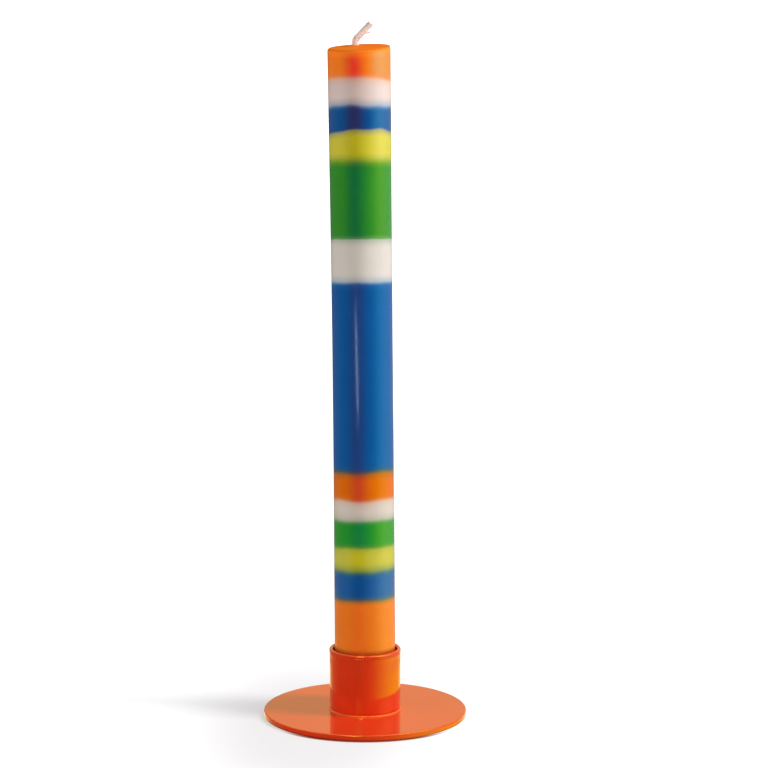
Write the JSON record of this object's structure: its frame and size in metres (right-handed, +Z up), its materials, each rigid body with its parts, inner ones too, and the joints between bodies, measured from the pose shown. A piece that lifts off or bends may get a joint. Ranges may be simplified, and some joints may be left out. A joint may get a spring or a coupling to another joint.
{
  "type": "taper candle with stand",
  "caption": "Tall candle poured in coloured wax layers round one cotton wick, standing loose in the short collar of a round painted steel stand.",
  "frame": {"origin": "middle of the stand's underside", "axes": "+Z up along the collar and the candle, -Y is the front, +X is the side that the wick bends to"},
  "size_m": [0.0764, 0.0764, 0.2609],
  "materials": {
    "orange_paint": "gloss",
    "wax_orange": "satin",
    "wax_blue": "satin",
    "wax_yellow": "satin",
    "wax_green": "satin",
    "wax_white": "satin",
    "wick_cotton": "matte"
  },
  "bodies": {
    "stand": {"base_plate": "orange_paint", "collar_tube": "orange_paint", "weld_bead": "orange_paint"},
    "candle": {"wax_layer_01_orange": "wax_orange", "wax_layer_02_blue": "wax_blue", "wax_layer_03_yellow": "wax_yellow", "wax_layer_04_green": "wax_green", "wax_layer_05_white": "wax_white", "wax_layer_06_orange": "wax_orange", "wax_layer_07_blue": "wax_blue", "wax_layer_08_white": "wax_white", "wax_layer_09_green": "wax_green", "wax_layer_10_yellow": "wax_yellow", "wax_layer_11_blue": "wax_blue", "wax_layer_12_white": "wax_white", "wax_layer_13_orange": "wax_orange", "wick": "wick_cotton"}
  },
  "joints": [
    {"name": "candle_lift", "type": "slide", "parent": "stand", "child": "candle", "axis": [0, 0, 1], "range_m": [0, 0.03]}
  ]
}
